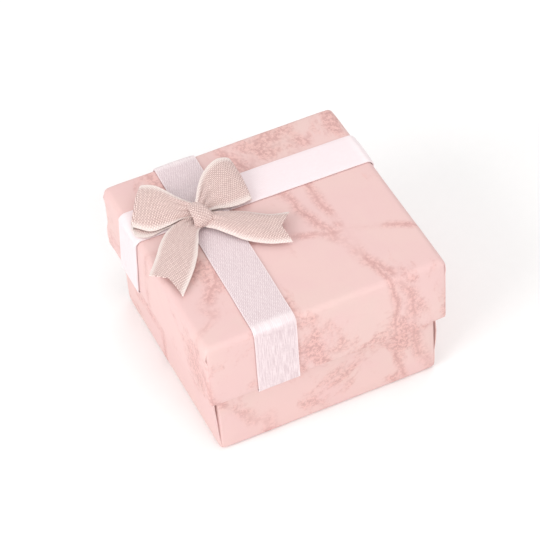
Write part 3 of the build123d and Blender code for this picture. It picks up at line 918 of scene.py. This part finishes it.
def make_glue():
    """The squashed dot of glue under the bow."""
    low, high = box_mm("bow_glue")
    middle, radius, height = (low + high) / 2, (high[0] - low[0]) / 2, high[2] - low[2]
    rings, count = 9, 28
    points = [(middle[0], middle[1], low[2])]
    for i in range(1, rings):
        angle = math.pi * i / rings
        for k in range(count):
            turn = 2 * math.pi * k / count
            uneven = wave((math.cos(turn), math.sin(turn), 0), 1.3, 2.0)
            r = radius * math.sin(angle) ** 0.6 * (1 + 0.12 * uneven)
            points.append((middle[0] + r * math.cos(turn), middle[1] + r * math.sin(turn),
                           low[2] + height * (1 - math.cos(angle)) / 2))
    points.append((middle[0], middle[1], high[2]))
    faces = [[face[0], face[3], face[2], face[1]] for face in grid_faces(rings - 1, count, 1, wrap=True)]
    last = len(points) - 1
    for k in range(count):
        n = (k + 1) % count
        faces.append([0, 1 + n, 1 + k])
        faces.append([last, last - count + k, last - count + n])
    add_piece("bow_glue_dot", points, faces, "hot_glue", "lid", ["bow_glue"])


# ---------------------------------------------------------------- foam insert


def stadium(length, width, centre, turn, grow=0.0):
    """Outline of a slot with round ends, grown outwards."""
    count = 10
    radius = width / 2 + grow
    straight = length / 2 - width / 2
    c, s = math.cos(turn), math.sin(turn)
    outline = []
    for end in (1, -1):
        for k in range(count):
            angle = (0 if end > 0 else math.pi) - math.pi / 2 + math.pi * k / (count - 1)
            x, y = end * straight + radius * math.cos(angle), radius * math.sin(angle)
            outline.append((centre[0] + c * x - s * y, centre[1] + s * x + c * y))
        for k in range(1, 8):
            x, y = end * straight * (1 - 2 * k / 8), end * radius
            outline.append((centre[0] + c * x - s * y, centre[1] + s * x + c * y))
    return outline


# Cuts in the insert: length, width, middle, turn and depth
RING_SLOT = (24.0, 2.4, (0.0, 0.0), 0.0, 12.0)
CHAIN_SLITS = [(8.0, 1.2, (side * 15.0, 15.0), side * math.pi / 4, 6.0) for side in (-1, 1)]
SLOTS = [RING_SLOT] + CHAIN_SLITS
SLOT_LIP = 0.6  # depth of the rounded lip of a slot
INSERT_RADIUS = 0.8  # at the upright corners of the insert


def slot_distance(x, y):
    """(distance to the nearest slot's edge, its depth), below zero inside the slot."""
    best = (1e9, 0.0)
    for length, width, (cx, cy), turn, depth in SLOTS:
        c, s = math.cos(turn), math.sin(turn)
        u, v = c * (x - cx) + s * (y - cy), -s * (x - cx) + c * (y - cy)
        reach = max(0.0, abs(u) - (length - width) / 2)
        best = min(best, (math.hypot(reach, v) - width / 2, depth))
    return best


def face_with_slots(half, radius, spacing=0.9):
    """Triangulated face of the insert with rings of points round the slots.

    Gives its points and faces, its outline, and the rims of the slots.
    """
    flat, edges, rims = [], [], []

    def add_loop(loop):
        start = len(flat)
        flat.extend(loop)
        edges.extend((start + k, start + (k + 1) % len(loop)) for k in range(len(loop)))
        return list(range(start, len(flat)))

    outer = add_loop([tuple(p) for p in square_ring(half, radius, 50, 5)])
    for inset in (0.3, 0.7, 1.2):
        add_loop([tuple(p) for p in square_ring(half - inset, max(radius - inset, 0.4), 50, 5)])
    for length, width, centre, turn, _ in SLOTS:
        rims.append(add_loop(stadium(length, width, centre, turn)))
        for grow in (0.15, 0.35, 0.7, 1.2):
            add_loop(stadium(length, width, centre, turn, grow))
    lines = np.arange(-half + 2.2, half - 2.0, spacing)
    for x in lines:
        for y in lines:
            if slot_distance(x, y)[0] > 1.6:
                flat.append((x, y))
    made = geometry.delaunay_2d_cdt([Vector(p) for p in flat], edges, [outer], 1, 1e-6)
    where, _, triangles, origin = made[0], made[1], made[2], made[3]
    lookup = {old: new for new, olds in enumerate(origin) for old in olds}
    kept = []
    for triangle in triangles:
        middle = sum((where[k] for k in triangle), Vector((0, 0))) / 3
        if slot_distance(*middle)[0] > 0:
            kept.append(list(triangle))
    outline = [lookup[k] for k in outer]
    return [tuple(p) for p in where], kept, outline, [[lookup[k] for k in rim] for rim in rims]


def quads(loop, ring):
    """Corners of each quad between two closed rings of point numbers."""
    return zip(loop, loop[1:] + loop[:1], ring[1:] + ring[:1], ring)


def pad_height(x, y, half):
    """Fall of the face from its crown: towards the outer edge, and steeply at a slot's lips."""
    edge = half - max(abs(x), abs(y))
    roll = 0.45 * math.exp(-edge / 0.45)
    lip = 0.45 * math.exp(-max(slot_distance(x, y)[0], 0) / 0.5)
    pillow = 0.25 * (1 - step(slot_distance(x, y)[0], 0, 5))
    return -(roll + lip + pillow) + 0.05 * wave((x, y, 0), 0.3, 5.0)


def make_velvet(low, high):
    """The velvet sheet, drawn down into the slots and over the block's edges."""
    half = high[0]
    where, triangles, outer, rims = face_with_slots(half, INSERT_RADIUS)
    thickness = high[2] - low[2]
    top = [(x, y, high[2] + pad_height(x, y, half)) for x, y in where]
    under = [(x, y, z - thickness * 0.75) for x, y, z in top]
    count = len(top)
    points = top + under
    faces = triangles + [[k + count for k in face[::-1]] for face in triangles]
    for loop in [outer] + rims:
        for quad in quads(loop, [k + count for k in loop]):
            faces.append(list(quad)[::-1] if loop is outer else list(quad))
    piece = add_piece("insert_velvet_face", points, faces, "velvet", "insert", ["insert_velvet"])


def make_foam(low, high):
    """The foam block with its three blind cuts and slightly soft corners."""
    half = high[0]
    where, triangles, outer, rims = face_with_slots(half, INSERT_RADIUS, 1.6)
    points = [(x, y, high[2] + pad_height(x, y, half)) for x, y in where]
    faces = [list(t) for t in triangles]
    levels = np.linspace(0, 1, 12)[1:]
    loop = outer
    for level in levels:
        ring = []
        for x, y in (where[k] for k in outer):
            bulge = 1 + 0.004 * math.sin(math.pi * level) + 0.002 * wave((x, y, 9 * level), 0.2, 8.0)
            ring.append(len(points))
            points.append((x * bulge, y * bulge, high[2] - (high[2] - low[2]) * level))
        faces += [[b, a, d, c] for a, b, c, d in quads(loop, ring)]
        loop = ring
    faces.append(loop[::-1])
    for rim, (_, _, _, _, depth) in zip(rims, SLOTS):
        loop = rim
        for level in np.linspace(0, 1, 7)[1:]:
            ring = list(range(len(points), len(points) + len(rim)))
            points += [(*where[k], high[2] - SLOT_LIP - (depth - SLOT_LIP) * level) for k in rim]
            faces += [list(quad) for quad in quads(loop, ring)]
            loop = ring
        faces.append(loop)
    piece = add_piece("insert_foam_block", points, faces, "foam", "insert", ["insert_foam"])


def make_insert():
    make_foam(*box_mm("insert_foam"))
    make_velvet(*box_mm("insert_velvet"))


# ---------------------------------------------------------------- CAD pieces that keep their shape


def dress_cad():
    for part in frame["record"]["subparts"]:
        piece = frame["nodes"][part["node"]]
        for slot in piece.material_slots:
            slot.material = materials[part["material_slot"]]
        if not piece.material_slots:
            piece.data.materials.append(materials[part["material_slot"]])


make_camera()
make_studio()
materials = make_materials()
dress_cad()
make_wraps()
make_lid_ribbons()
make_loops()
make_tails()
make_knot()
make_glue()
make_insert()
